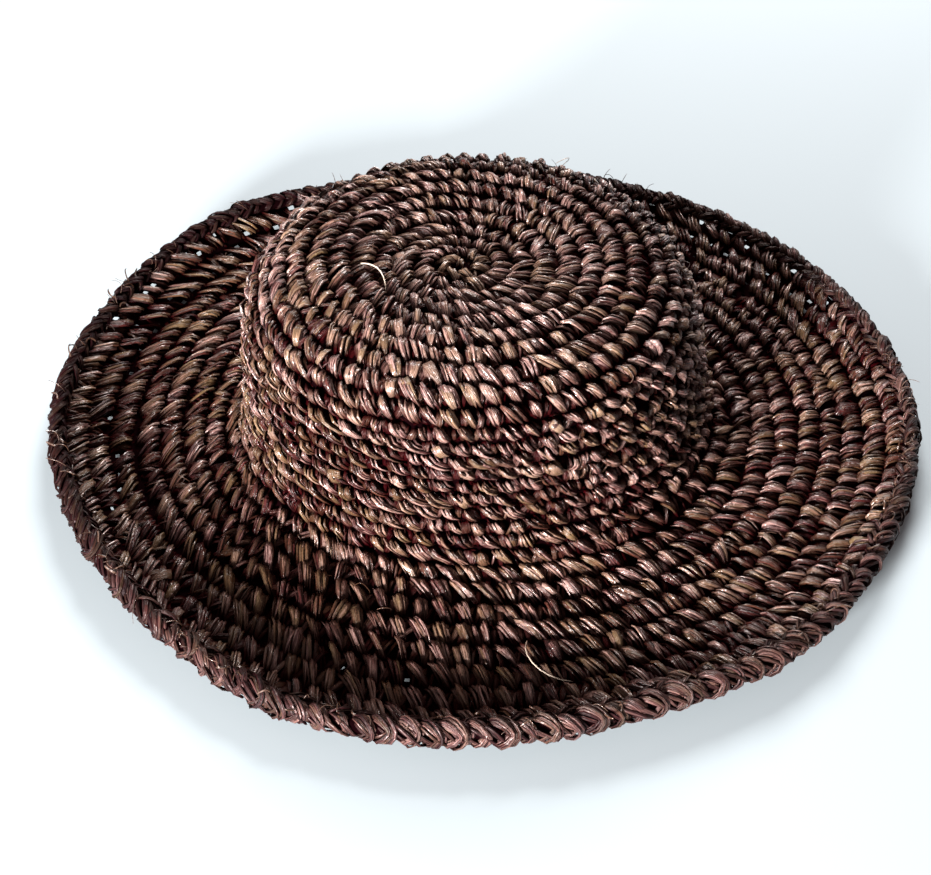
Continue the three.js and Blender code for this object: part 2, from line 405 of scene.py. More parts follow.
frontLeg = {
    "strands": 10, "section": "ridged", "cuts": 3,
    "slant": 0.7,                   # shift along the round from its start to its end, in stitches
    "start": -0.53, "end": 0.55,    # across the round, in rounds
    "fanStart": 7.4, "fanEnd": 5.2,     # width of the bundle
    "width": (0.85, 1.7), "thickness": (0.5, 0.85),
    "heightAt": (0, 0.05, 0.2, 0.42, 0.66, 0.86, 1),
    "height": (-2.0, 0.1, 1.6, 1.35, 0.4, -1.0, -2.6),
    "bundleDrop": 2.4,
    "heightJitter": 0.34,
    "dome": 0.8,                    # how far the outer strands roll down the sides of the bundle
    "lean": 0.7,                    # each bundle's left side lies on its neighbour
    "wideShare": 0.12, "missing": 0.05,
}
backLeg = {
    "strands": 3, "section": "ridged", "cuts": 2,
    "slant": -0.15,
    "start": -0.4, "end": 0.52,
    "fanStart": 5.0, "fanEnd": 6.0,
    "width": (1.6, 2.6), "thickness": (0.6, 0.9),
    "heightAt": (0, 0.15, 0.4, 0.7, 0.9, 1),
    "height": (-2.4, -1.2, -0.7, -1.0, -1.7, -2.8),
    "bundleDrop": 0.4,
    "heightJitter": 0.3,
    "dome": 0.4,
    "lean": 0,
    "offset": 0.45,                 # beside the leading leg, in stitches
    "wideShare": 0.05, "missing": 0.05,
    "paintedLit": 0.8,                     # painted shade: less than 1, because it lies under the leading leg
}
innerLeg = {
    "strands": 4, "section": "ridged", "cuts": 1,
    "slant": -0.4,
    "start": 0.52, "end": -0.52,
    "fanStart": 6.4, "fanEnd": 5.0,
    "width": (2.0, 2.9), "thickness": (0.7, 0.9),
    "heightAt": (0, 0.1, 0.3, 0.6, 0.88, 1),
    "height": (-1.9, -0.4, 0.35, 0.3, -0.6, -1.9),
    "bundleDrop": 0.7,
    "heightJitter": 0.2,
    "dome": 0.4,
    "lean": 0,
    "wideShare": 0, "missing": 0,
}
# Broad flat ribbons that lie over single stitches, most of them on the ridge at the front left
toothLeg = {
    "strands": 1, "section": "ribbon", "cuts": 2,
    "slant": 0.4,
    "start": -0.46, "end": 0.44,
    "fanStart": 0, "fanEnd": 0,
    "width": (2.2, 3.2), "thickness": (0.4, 0.6),
    "heightAt": (0, 0.15, 0.45, 0.8, 1),
    "height": (-0.2, 1.5, 1.75, 0.7, -0.8),
    "bundleDrop": 0,
    "heightJitter": 0.2,
    "dome": 0,
    "lean": 0,
    "wideShare": 0, "missing": 0,
    "tone": 0.62, "khaki": 0.45, "profile": (1.0, 1.05, 1.0, 0.85, 0.5),
}
ribbons = {"azimuth": (190 * degree, 268 * degree), "rounds": (5.6, 9.6), "share": 0.6, "elsewhere": 0.02}
stitchTone = {
    "middle": 0.48, "stitchJitter": 0.21, "strandJitter": 0.17,
    "pale": 0.55, "knot": 0.45,     # added to the pale strands as a painted glint, and to the first stitches
    "stitchKhaki": 0.7, "strandKhaki": 0.6,
}
# Painted light on the tip and painted shade towards the rim: tone added at these rounds
paintedLightByRound = {"round": (0, 5, 9, 14, 20, 26, 28.5), "tone": (0.26, 0.26, 0.2, 0.05, 0, 0, -0.06)}
# Painted light and shade, as lighter and darker parts: middle azimuth and half width in degrees, middle
# round and half width, tone
paintedLightPatches = (
    (203, 52, 15, 8, -0.32),        # left of the wall
    (180, 75, 25, 5, -0.24),        # left of the brim
    (320, 50, 25, 5, -0.22),        # right front of the brim
    (55, 45, 25, 5, -0.2),          # right back of the brim
    (150, 38, 27.5, 2.6, -0.35),    # back left of the brim, near the rim
    (10, 50, 28, 2.5, -0.2),        # right of the brim, near the rim
    (265, 60, 18.5, 3, -0.06),      # foot of the wall, at the front
    (275, 60, 24, 3, 0.1),          # front of the brim
    (185, 60, 6, 4, -0.22),         # left of the tip
    (275, 60, 6, 4, 0.16),          # front of the tip
    (350, 60, 3, 3, 0.1),           # middle of the tip
)
# Here the stitches slant less, so they look like packed shells; the amount is a share of the slant
slantPatch = (325, 75, 25.5, 6, -0.42)
patchEdge = (0.4, 1.1)          # shares of its half widths where a patch starts to fade and ends


def stitchCounts():
    # walks the spiral stitch by stitch
    counts = np.arange(spiral["startCount"], spiral["endCount"], spiral["countStep"])
    azimuths = spiralAzimuth(counts)
    route = facePoint(azimuths, spiralRound(counts, azimuths))
    room = np.interp(counts[1:], stitch["rounds"], stitch["roomShare"]) * stitch["spacing"] * mm
    progress = np.concatenate([[0], np.cumsum(np.linalg.norm(np.diff(route, axis=0), axis=1) / room)])
    stops = np.arange(stitch["firstStop"], progress[-1])
    stops = stops + luck.normal(0, stitch["spacingJitter"] / stitch["spacing"], len(stops))
    return np.interp(stops, progress, counts)


def placeOnFace(azimuth, rnd, along, across, height):
    # along and height in metres and across in rounds, for arrays shaped (strand, stop)
    point, alongWay, outWay, normal, reach, pitch = faceFrame(azimuth, rnd)
    turned = azimuth + along / np.maximum(reach, stitch["leastRadius"] * mm)
    moved = rnd + across
    there, _, _, thereNormal, _, _ = faceFrame(turned, moved)
    flat = point + alongWay * along[..., None] + outWay * (across * pitch)[..., None]
    nearTip = (rnd < stitch["flatRounds"])[..., None]
    base = np.where(nearTip, flat, there)
    lift = np.where(nearTip, normal, thereNormal)
    return base + lift * height[..., None], lift


def patchAmount(patch, azimuth, rnd):
    middle, halfTurn, middleRound, halfRounds, amount = patch
    turn = np.mod(azimuth / degree - middle + 180, 360) - 180
    away = np.hypot(turn / halfTurn, (rnd - middleRound) / halfRounds)
    return amount * (1 - smoothStep(away, *patchEdge))


def stitchBundles(counts):
    # what the strands of a stitch have in common, a value for each stitch
    names = ("roomShare", "slantShare", "fanShare", "turnShare", "lengthShare", "widthShare")
    bundles = {name: np.interp(counts, stitch["rounds"], stitch[name]) for name in names}
    limit = stitch["sizeLimit"]
    size = 1 + luck.normal(0, stitch["sizeJitter"], len(counts)).clip(-limit, limit)
    grown = smoothStep(counts, *stitch["knot"])
    bundles["size"] = size * (stitch["knotSize"] + (1 - stitch["knotSize"]) * grown)
    bundles["turn"] = luck.normal(0, stitch["turnJitter"], len(counts)) * bundles["turnShare"]
    bundles["coarse"] = stitch["coarse"] * luck.random(len(counts)) ** 2
    bundles["azimuth"] = spiralAzimuth(counts)
    rnd = spiralRound(counts, bundles["azimuth"])
    fast, swing, slow = stitch["wanderWaves"]
    drift = np.sin(counts * fast + swing * np.sin(counts * slow)) * smoothStep(rnd, *stitch["wanderRounds"])
    bundles["round"] = rnd + stitch["wander"] * drift + luck.normal(0, stitch["roundJitter"], len(counts))
    return bundles


def strandRows(values, shape):
    # an array shaped (stitch, strand, stop) with one row a strand
    return np.broadcast_to(values, shape).reshape(-1, shape[-1])


def legLines(leg, bundles, stops, inner):
    # each strand's place in its bundle, from -1 to 1, its route, the normals along it and its depth, which
    # sets its painted shade
    shape = (len(bundles["size"]), leg["strands"])
    common = {name: values[:, None, None] for name, values in bundles.items()}
    place = np.linspace(-1, 1, leg["strands"]) + spread(-stitch["placeJitter"], stitch["placeJitter"], shape)
    ends = spread(-stitch["endJitter"], stitch["endJitter"], shape)[..., None]
    across = leg["start"] + (leg["end"] - leg["start"]) * stops ** stitch["easeIn"] + ends
    slant = leg["slant"] * common["slantShare"]
    slant = slant * (1 + patchAmount(slantPatch, common["azimuth"], common["round"]))
    along = (slant * (stops - 0.5) + leg.get("offset", 0)) * stitch["spacing"]
    fan = leg["fanStart"] + (leg["fanEnd"] - leg["fanStart"]) * stops
    along = along + place[..., None] * fan / 2 * common["fanShare"]
    along = along + luck.normal(0, stitch["bow"], shape)[..., None] * np.sin(stops * math.pi)
    along = along + luck.normal(0, stitch["stray"], shape)[..., None] * (stops - stitch["strayFrom"])
    along = along + np.tan(common["turn"]) * across * stitch["pitch"]
    along = along * common["size"] * common["roomShare"] * mm
    across = across * (0.5 + 0.5 * common["size"]) * common["lengthShare"]
    height = np.interp(stops, leg["heightAt"], leg["height"]) - leg["bundleDrop"] * (place**2)[..., None]
    height = height + luck.normal(0, leg["heightJitter"], shape)[..., None]
    height = height + (common["size"] - 1) * stitch["sizeLift"] - leg["lean"] * place[..., None]
    depth = smoothStep(height, *stitch["shadeHeights"])
    height = np.maximum(height, -stitch["deepest"]) * mm
    if inner:
        height = -(height + stitch["under"] * mm)
    values = (common["azimuth"], common["round"], along, across, height)
    paths, normals = placeOnFace(*[strandRows(value, (*shape, len(stops))) for value in values])
    paths[..., 2] = np.maximum(paths[..., 2], stitch["clearance"] * mm)
    if inner:
        normals = -normals
    return place.reshape(-1, 1), paths, normals, depth.reshape(-1, len(stops))


def legWidths(leg, bundles, inner):
    # width of each strand, and which strands are broad and which are pale
    strands = len(bundles["size"]) * leg["strands"]
    bundleWidth = (1 + bundles["coarse"]) * bundles["widthShare"] * (0.4 + 0.6 * bundles["roomShare"])
    width = spread(*leg["width"], strands) * mm * np.repeat(bundleWidth, leg["strands"])
    broad = luck.random(strands) < leg["wideShare"]
    pale = (luck.random(strands) < stitch["paintedGlintShare"]) & (not inner)
    width = np.where(broad, width * stitch["broader"], width)
    return np.where(pale, width * stitch["paleWidth"], width), broad, pale


def legShades(leg, counts, bundles, pale):
    # tone, with painted light and shade by round and patch, and share of khaki of each strand
    tone = luck.normal(leg.get("tone", stitchTone["middle"]), stitchTone["stitchJitter"], len(counts))
    strandTone = luck.normal(0, stitchTone["strandJitter"], len(pale)) + stitchTone["pale"] * pale
    khaki = luck.random(len(counts)) ** 3 * stitchTone["stitchKhaki"] + leg.get("khaki", 0)
    strandKhaki = luck.random(len(pale)) ** 3 * stitchTone["strandKhaki"]
    inKnot = counts < stitch["knot"][1]
    tone = tone + np.interp(bundles["round"], paintedLightByRound["round"], paintedLightByRound["tone"])
    tone = tone + stitchTone["knot"] * inKnot
    for patch in paintedLightPatches:
        tone = tone + patchAmount(patch, bundles["azimuth"], bundles["round"])
    tone = np.repeat(tone, leg["strands"]) + strandTone
    khaki = np.repeat(khaki + inKnot, leg["strands"]) + strandKhaki
    return tone.clip(0, 1), khaki.clip(0, 1)


def legBatch(leg, counts, inner=False):
    sliver = makeSliver(leg["section"], leg["cuts"])
    stops = sliver["stops"]
    bundles = stitchBundles(counts)
    place, paths, normals, depth = legLines(leg, bundles, stops, inner)
    width, broad, pale = legWidths(leg, bundles, inner)
    paths = paths + normals * ((broad | pale) * stitch["raised"] * mm)[:, None, None]
    strands = len(paths)
    roll = place * leg["dome"] + luck.normal(0, stitch["rollJitter"], (strands, 1))
    roll = roll + luck.normal(0, stitch["twist"], (strands, 1)) * (stops - stitch["twistFrom"])
    profile = np.interp(stops, stitch["profileAt"], leg.get("profile", stitch["profile"]))
    thickness = spread(*leg["thickness"], (strands, 1)) * mm
    bent = bendSlivers(sliver, paths, normals, width[:, None], thickness, roll, profile)
    bent[..., 2] = np.maximum(bent[..., 2], stitch["floorGap"] * mm)
    tone, khaki = legShades(leg, counts, bundles, pale)
    gaps = stitch["coarseGaps"] * bundles["coarse"] + stitch["wideGaps"] * (bundles["widthShare"] - 1)
    kept = luck.random(strands) >= np.repeat(leg["missing"] * (1 + gaps), leg["strands"])
    return {"sliver": sliver, "bent": bent[kept], "paths": paths[kept], "width": width[kept],
            "seed": luck.random(kept.sum()), "tone": tone[kept], "khaki": khaki[kept],
            "depth": depth[kept] * leg.get("paintedLit", 1)}


# Braid round the rim: a chain of V-shaped links that point clockwise. The outer arm of each link runs
# down over the edge and turns back under itself; the inner arm runs down towards the crown.
rimChain = {
    "halfDepth": 4.4, "halfHeight": 4.8,            # of its oval section
    "gap": 0.3,                                     # to the brim
    "backReach": 0.86, "frontReach": 1.14,          # shares of its thickness
    "spacing": 7.1,                                 # from link to link
    "longAzimuth": 250 * degree, "longer": 1.8,     # the links are longest at the front left, have the most painted shade at the back left, and painted shade at the right too
    "shadeAzimuth": 140 * degree, "paintedBackShade": 0.5,     # darkest at the back left
    "rightShadeAzimuth": 15 * degree, "paintedRightShade": 0.2,       # and darker at the right too
    "spacingJitter": 0.06, "sizeJitter": 0.2, "sizeLimits": (-0.4, 0.35), "linkTurn": 0.2,
    "placeJitter": 0.2, "strandTurn": 0.13, "reachJitter": 0.08,
    "roll": 0.5, "rollJitter": 0.2, "twist": 0.3,
    "profileAt": (0, 0.1, 0.4, 0.8, 1), "profile": (0.5, 0.85, 1.05, 0.95, 0.5),    # of the width
    "shadeAt": (0, 0.12, 0.3, 0.8, 1), "shade": (0.1, 0.7, 1, 0.9, 0.2),            # painted shade, 0 is deep dark
    # painted shade at the back left, which fades in between the backEdge shares
    "backShade": 0.55, "backEdge": (0.35, 0.85),
    "linkTone": 0.2, "strandTone": 0.15, "khaki": 0.5,
}
outerArm = {
    "strands": 8, "section": "ribbon", "cuts": 8,
    "angle": (104, 92, 74, 50, 24, -2, -34, -70, -115),     # round the section, 90 is up, 0 is out
    "along": (-0.6, -0.46, -0.18, 0.16, 0.42, 0.46, 0.22, -0.12, -0.46),
    "reach": (0.45, 0.86, 1.14, 1.16, 1.02, 0.94, 1.06, 1.02, 0.66),
    "fan": (2.2, 3.4, 4.2, 4.2, 3.6, 3.6, 4.8, 5.0, 3.6),
    "dome": 0.4,
    "width": (0.9, 1.9), "thickness": (0.5, 0.8),
    "tone": 0.53, "paintedLit": 1,
}
innerArm = outerArm | {
    "strands": 5, "cuts": 4,
    "angle": (80, 94, 118, 144, 166, 178),
    "along": (-0.62, -0.46, -0.12, 0.2, 0.46, 0.58),
    "reach": (0.5, 0.86, 1.08, 1.08, 0.96, 0.7),
    "fan": (1.6, 2.4, 3.0, 3.0, 2.4, 1.8),
    # painted shade: the inner arm has a lower tone and is less lit
    "tone": 0.45, "paintedLit": 0.8,
}
# Strands under the links, which fill the gaps between them and get painted shade
underArms = outerArm | {
    "strands": 3, "section": "ridged", "cuts": 4,
    "angle": (70, 40, 10, -25, -65),
    "along": (-0.7, -0.25, 0.2, 0.5, 0.8),
    "reach": (0.75, 0.92, 0.95, 0.92, 0.75),
    "fan": (4.4, 5.4, 6.0, 5.6, 4.4),
    "width": (1.5, 2.4), "thickness": (0.7, 0.9), "dome": 0.1,
    "paintedLit": 0.45,
}


def rimReach(azimuth):
    return np.interp(-np.sin(azimuth), (0, 1), (rimChain["backReach"], rimChain["frontReach"]))


def braidSection(azimuth, angle, reach):
    # point on the braid's oval section and the direction out of it
    point, _, outWay, normal, _, _ = faceFrame(azimuth, np.full_like(azimuth, hatSurface["brimEnd"]))
    centre = point - normal * hatSurface["fabricThickness"] / 2 * mm
    centre = centre + outWay * (rimChain["gap"] + rimChain["halfDepth"]) * mm
    out = outWay * (rimChain["halfDepth"] * np.cos(angle))[..., None]
    up = normal * (rimChain["halfHeight"] * np.sin(angle))[..., None]
    return centre + (out + up) * reach[..., None] * mm, unit(out + up)


def rimLinks():
    # azimuth and length of each link, and the length of the rim for each radian, in millimetres
    turns = np.linspace(0, 2 * math.pi, 2000)
    rim, _ = braidSection(turns, np.zeros_like(turns), np.ones_like(turns))
    steps = np.linalg.norm(np.diff(rim, axis=0), axis=1) / mm
    spacing = rimChain["spacing"] + rimChain["longer"] * np.cos(turns - rimChain["longAzimuth"])
    progress = np.concatenate([[0], np.cumsum(steps / spacing[1:])])
    links = round(progress[-1])
    middles = (np.arange(links) + luck.normal(0, rimChain["spacingJitter"], links)) * progress[-1] / links
    middles = np.interp(middles, progress, turns)
    return middles, np.interp(middles, turns, spacing), steps.sum() / (2 * math.pi)


def armLines(arm, stops, middles, lengths, perRadian):
    # each strand's place in its bundle, from -1 to 1, its route and the normals along it
    links = len(middles)
    shape = (links, arm["strands"])
    knots = np.linspace(0, 1, len(arm["angle"]))
    place = np.linspace(-1, 1, arm["strands"])
    place = place + spread(-rimChain["placeJitter"], rimChain["placeJitter"], shape)
    course = np.interp(stops, knots, arm["angle"]) * degree
    angle = course + luck.normal(0, rimChain["strandTurn"], shape)[..., None]
    angle = angle + luck.normal(0, rimChain["linkTurn"], links)[:, None, None]
    size = 1 + luck.normal(0, rimChain["sizeJitter"], links).clip(*rimChain["sizeLimits"])[:, None, None]
    along = np.interp(stops, knots, arm["along"]) * rimChain["spacing"]
    # the strands lie beside each other across the arm's own heading
    heading = np.gradient(along, stops)
    climb = np.gradient(course, stops) * rimChain["halfHeight"]
    sideways = place[..., None] * np.interp(stops, knots, arm["fan"]) / 2 / np.hypot(heading, climb)
    along = along - sideways * climb
    angle = angle + sideways * heading / rimChain["halfHeight"]
    reach = np.interp(stops, knots, arm["reach"]) * (0.5 + 0.5 * size)
    reach = reach * rimReach(middles)[:, None, None] - arm["dome"] * (place**2)[..., None]
    reach = reach + luck.normal(0, rimChain["reachJitter"], shape)[..., None]
    stretch = size * lengths[:, None, None] / rimChain["spacing"]
    azimuth = middles[:, None, None] + along * stretch / perRadian
    rows = [strandRows(value, (*shape, len(stops))) for value in (azimuth, angle, reach)]
    return place.reshape(-1, 1), *braidSection(*rows)


def chainBatch(arm):
    sliver = makeSliver(arm["section"], arm["cuts"])
    stops = sliver["stops"]
    middles, lengths, perRadian = rimLinks()
    place, paths, normals = armLines(arm, stops, middles, lengths, perRadian)
    strands = len(paths)
    width = spread(*arm["width"], strands) * mm
    roll = place * rimChain["roll"] + luck.normal(0, rimChain["rollJitter"], (strands, 1))
    roll = roll + luck.normal(0, rimChain["twist"], (strands, 1)) * stops
    profile = np.interp(stops, rimChain["profileAt"], rimChain["profile"])
    thickness = spread(*arm["thickness"], (strands, 1)) * mm
    bent = bendSlivers(sliver, paths, normals, width[:, None], thickness, roll, profile)
    tone = luck.normal(arm["tone"], rimChain["linkTone"], len(middles))
    strandTone = luck.normal(0, rimChain["strandTone"], strands)
    khaki = luck.random(strands) ** 2 * rimChain["khaki"]
    # painted shade on the links at the back left and at the right
    atBack = smoothStep(0.5 + 0.5 * np.cos(middles - rimChain["shadeAzimuth"]), *rimChain["backEdge"])
    atRight = np.clip(np.cos(middles - rimChain["rightShadeAzimuth"]), 0, 1)
    tone = np.repeat(tone - rimChain["paintedBackShade"] * atBack - rimChain["paintedRightShade"] * atRight, arm["strands"])
    depth = np.interp(stops, rimChain["shadeAt"], rimChain["shade"])
    depth = depth * np.repeat(1 - rimChain["backShade"] * atBack, arm["strands"])[:, None] * arm["paintedLit"]
    return {"sliver": sliver, "bent": bent, "paths": paths, "seed": luck.random(strands), "width": width,
            "tone": (tone + strandTone).clip(0, 1), "khaki": khaki, "depth": depth}


# Loose fibres: where each starts, its heading from the round's direction, length, curl, rise, width and
# tone, in degrees, rounds and millimetres
looseFibres = {
    "columns": ("azimuth", "round", "heading", "length", "curl", "rise", "width", "tone"),
    "placed": (
        (278, 24.6, 110, 32, -130, 3.5, 0.7, 1.0),              # pale one on the front brim
        (185, 4.8, -55, 22, 65, 3.0, 0.6, 0.8),                 # on the tip
        (218, 28.9, 60, 24, -40, 2, 0.3, 0),                    # at the rim
        (179, 28.9, 100, 10, 20, 2, 0.3, 0),
        (193, 28.9, 80, 11, 60, 2, 0.3, 0),
        (213, 28.9, 70, 13, 230, 1, 0.3, 0),
        (234, 28.9, 90, 14, 200, 1, 0.3, 0.1),
        (2, 28.9, 60, 14, 220, 1, 0.35, 0.2),
        (337, 28.9, 100, 15, -220, 1, 0.35, 0.1),
        (60, 10.3, 200, 12, 160, 4, 0.3, 0.6),
        (273, 28.9, 95, 10, 40, 0, 0.5, 0.2),
        (250, 28.9, 110, 12, -30, 1, 0.3, 0),
    ),
    "cuts": 6, "thickness": 0.8,        # in widths
    "profileAt": (0, 0.1, 0.8, 1), "profile": (1, 1, 0.8, 0.3),     # of the width
    "curlFrom": 0.15,                   # share of the length where the heading is as given
    "root": -1.0, "base": 1.3,          # heights over the face, at the start and after it
    "addTone": 0.25, "khaki": 0.2,
}
# More at random: lowest and highest value of each column, but average and jitter of curl and rise
rimHairs = {
    "count": 110,
    "azimuth": (0, 360), "round": (28.6, 29.2), "heading": (20, 160), "length": (3, 9),
    "curl": (0, 60), "rise": (1.5, 1.5), "width": (0.22, 0.4), "tone": (-0.4, 0.1),
}
faceHairs = rimHairs | {"count": 50, "round": (1, 28), "heading": (0, 360)}
# Ends of strands that stand out of the rim
rimEnds = {
    "count": 90,
    "azimuth": (150, 370), "round": (28.5, 29.3), "heading": (10, 170), "length": (4, 9),
    "curl": (0, 170), "rise": (0.5, 1), "width": (0.5, 1.1), "tone": (-0.35, 0),
}


def fibreBatch():
    settings = looseFibres
    rows = {}
    for name, placed in zip(settings["columns"], np.transpose(settings["placed"])):
        draw = luck.normal if name in ("curl", "rise") else luck.uniform
        drawn = [draw(*kind[name], kind["count"]) for kind in (rimHairs, faceHairs, rimEnds)]
        rows[name] = np.concatenate([placed, *drawn])
    sliver = makeSliver("ridged", settings["cuts"])
    stops = sliver["stops"]
    strands = len(rows["azimuth"])
    heading = (rows["heading"][:, None] + rows["curl"][:, None] * (stops - settings["curlFrom"])) * degree
    steps = np.diff(stops, prepend=0) * rows["length"][:, None] * mm
    along = np.cumsum(np.cos(heading) * steps, axis=1)
    out = np.cumsum(np.sin(heading) * steps, axis=1)
    point, alongWay, outWay, normal, _, _ = faceFrame(rows["azimuth"] * degree, rows["round"])
    lift = settings["base"] + rows["rise"][:, None] * np.sin(stops * math.pi)
    lift[:, 0] = settings["root"]
    paths = point[:, None] + alongWay[:, None] * along[..., None] + outWay[:, None] * out[..., None]
    paths = paths + normal[:, None] * lift[..., None] * mm
    normals = np.repeat(normal[:, None], len(stops), 1)
    width = rows["width"] * mm
    profile = np.interp(stops, settings["profileAt"], settings["profile"])
    thickness = settings["thickness"] * width[:, None]
    bent = bendSlivers(sliver, paths, normals, width[:, None], thickness, np.zeros((strands, 1)), profile)
    return {"sliver": sliver, "bent": bent, "paths": paths, "seed": luck.random(strands), "width": width,
            "tone": rows["tone"] + settings["addTone"], "khaki": np.full(strands, settings["khaki"]),
            "depth": np.ones((strands, len(stops)))}


# A thin ribbed layer between the outer and the inner strands that fills the gaps between the stitches; it is
# near black, as painted shade
gapLayer = {
    "crownSteps": (120, 44), "brimSteps": (360, 40),        # along the rounds, across them
    "intoRim": 0.15,                                        # rounds by which the brim's layer reaches on
    "crest": 2.4, "valley": 3.2, "thickness": 1.0,          # depths under the outer face
    "opening": 0.95,                                        # half width of the layer's gap at a pinhole
}


def makeGrid(steps):
    # a flat grid, and its points' shares of the way along both sides
    layer = bmesh.new()
    bmesh.ops.create_grid(layer, x_segments=steps[0], y_segments=steps[1], size=0.5)
    co = np.array([v.co[:] for v in layer.verts])
    return layer, co[:, 0] + 0.5, co[:, 1] + 0.5


def moveVerts(layer, places):
    for vert, place in zip(layer.verts, places):
        vert.co = place


def closeSeams(layer):
    bmesh.ops.remove_doubles(layer, verts=layer.verts, dist=0.01 * mm)
    bmesh.ops.recalc_face_normals(layer, faces=layer.faces)


def meshOf(name, layer):
    mesh = bpy.data.meshes.new(name)
    layer.to_mesh(mesh)
    layer.free()
    return mesh


def finishLayer(name, layer, material):
    for face in layer.faces:
        face.smooth = True
    return addPiece(name, meshOf(name, layer), material)


def makeGapLayer(name, firstRound, lastRound, steps, material, holes=()):
    layer, around, across = makeGrid(steps)
    azimuth = around * 2 * math.pi
    rnd = firstRound + across * (lastRound - firstRound)
    count = rnd - jogShift(azimuth, rnd)
    wave = np.sin(math.pi * (count - (azimuth - spiral["frontAzimuth"]) / (2 * math.pi))) ** 2
    depth = gapLayer["crest"] + (gapLayer["valley"] - gapLayer["crest"]) * wave
    point, _, _, normal, _, _ = faceFrame(azimuth, rnd)
    moveVerts(layer, point - normal * depth[:, None] * mm)
    if len(holes):
        middles = sightLine(np.array([f.calc_center_median()[:] for f in layer.faces]))
        away = np.linalg.norm(middles[:, None] - holes[None], axis=-1).min(1)
        opened = [f for f, gap in zip(layer.faces, away) if gap < gapLayer["opening"] * mm]
        bmesh.ops.delete(layer, geom=opened, context="FACES")
    closeSeams(layer)
    # the outer side looks up at the highest face
    highest = max(layer.faces, key=lambda f: f.calc_center_median().z)
    if highest.normal.z < 0:
        bmesh.ops.reverse_faces(layer, faces=layer.faces)
    bmesh.ops.solidify(layer, geom=layer.faces, thickness=gapLayer["thickness"] * mm)
    return finishLayer(name, layer, material)


# A tube inside the braid that fills its gaps, near black as painted shade, whose size is a share of the
# braid's section, less at top and bottom
braidGapLayer = {"steps": (300, 8), "inner": 0.86, "upright": 0.7, "outer": 0.84}


def makeBraidGapLayer(name, material):
    layer, around, across = makeGrid(braidGapLayer["steps"])
    azimuth = around * 2 * math.pi
    angle = -across * 2 * math.pi
    shares = (braidGapLayer["inner"], braidGapLayer["upright"], braidGapLayer["outer"])
    reach = np.interp(np.cos(angle), (-1, 0, 1), shares) * np.minimum(rimReach(azimuth), 1)
    places, _ = braidSection(azimuth, angle, reach)
    moveVerts(layer, places)
    closeSeams(layer)
    return finishLayer(name, layer, material)


# Dyed raffia: dark brown strands whose tone and hue differ one by one, with fine fibres along them
raffiaLook = {
    # colour of painted shade, where strands lie deep and at their edges
    "paintedShade": (0.017, 0.0011, 0.0017),
    "dark": (0.021, 0.0038, 0.0042), "brown": (0.07, 0.013, 0.0125), "pale": (0.32, 0.182, 0.158),
    "brownAt": 0.55,                # tone of the brown, between the dark at 0 and the pale at 1
    "khaki": (0.2, 0.125, 0.054), "khakiShare": 0.6,
    "sheen": (1, 0.9, 0.86),        # tint of the gloss
    "gloss": (0.55, 1.2),           # of the darkest strands and of the palest
    "rough": (0.5, 0.22),           # in the fibres' dark lines and on them
    "fibreTone": 0.8,               # how much the fibres change the tone
    "fibreScale": (0.1, 2.2, 1),    # along and across the strand, per millimetre
    "fibreLines": (0.4, 0.58),
    "bump": 1.0, "fibreDepth": 0.25,
    "crumpleScale": (0.5, 0.8, 1), "crumpleDepth": 0.45,
    "edge": (0.6, 1.0),             # painted shade: strands darken between these shares of their half width
}
edgeLook = raffiaLook | {
    "paintedShade": (0.008, 0.0014, 0.0022),
    "dark": (0.009, 0.0026, 0.0034), "brown": (0.044, 0.012, 0.0118), "pale": (0.15, 0.069, 0.06),
    "khakiShare": 0.3,
    "gloss": (0.25, 0.6), "rough": (0.6, 0.36),
    "fibreTone": 0.6, "edge": (0.62, 1.0),
}
fibreLook = raffiaLook | {
    "brown": (0.12, 0.06, 0.045), "pale": (0.7, 0.55, 0.43),
    "fibreTone": 0.1, "edge": (1.2, 1.6),
}
# near black: painted shade in the gaps between the strands
gapShadeLook = {"color": (0.003, 0.0006, 0.0009), "shares": (0.4, 1.6), "noiseScale": 420, "rough": 0.9}


def linear(color):
    return (*color, 1)


def newMaterial(name):
    material = bpy.data.materials.new(name)
    material.use_nodes = True
    return material, material.node_tree, material.node_tree.nodes["Principled BSDF"]


def feed(tree, socket, value):
    # links an output to the socket, or sets a plain value on it
    if isinstance(value, bpy.types.NodeSocket):
        tree.links.new(value, socket)
    else:
        socket.default_value = value


def addMath(tree, operation, *values):
    node = tree.nodes.new("ShaderNodeMath")
    node.operation = operation
    for socket, value in zip(node.inputs, values):
        feed(tree, socket, value)
    return node.outputs["Value"]


def addRange(tree, value, source, target, kind="LINEAR"):
    node = tree.nodes.new("ShaderNodeMapRange")
    node.interpolation_type = kind
    ends = dict(zip(("From Min", "From Max", "To Min", "To Max"), (*source, *target)))
    for name, end in ends.items():
        node.inputs[name].default_value = end
    feed(tree, node.inputs["Value"], value)
    return node.outputs["Result"]


def addMix(tree, share, first, second):
    node = tree.nodes.new("ShaderNodeMix")
    node.data_type = "RGBA"
    for name, value in (("Factor", share), ("A", first), ("B", second)):
        feed(tree, node.inputs[name], value)
    return node.outputs["Result"]


def addNoise(tree, vector, stretch, detail):
    mapping = tree.nodes.new("ShaderNodeMapping")
    mapping.inputs["Scale"].default_value = stretch
    feed(tree, mapping.inputs["Vector"], vector)
    noise = tree.nodes.new("ShaderNodeTexNoise")
    noise.inputs["Scale"].default_value = 1
    noise.inputs["Detail"].default_value = detail
    feed(tree, noise.inputs["Vector"], mapping.outputs["Vector"])
    return noise.outputs["Fac"]


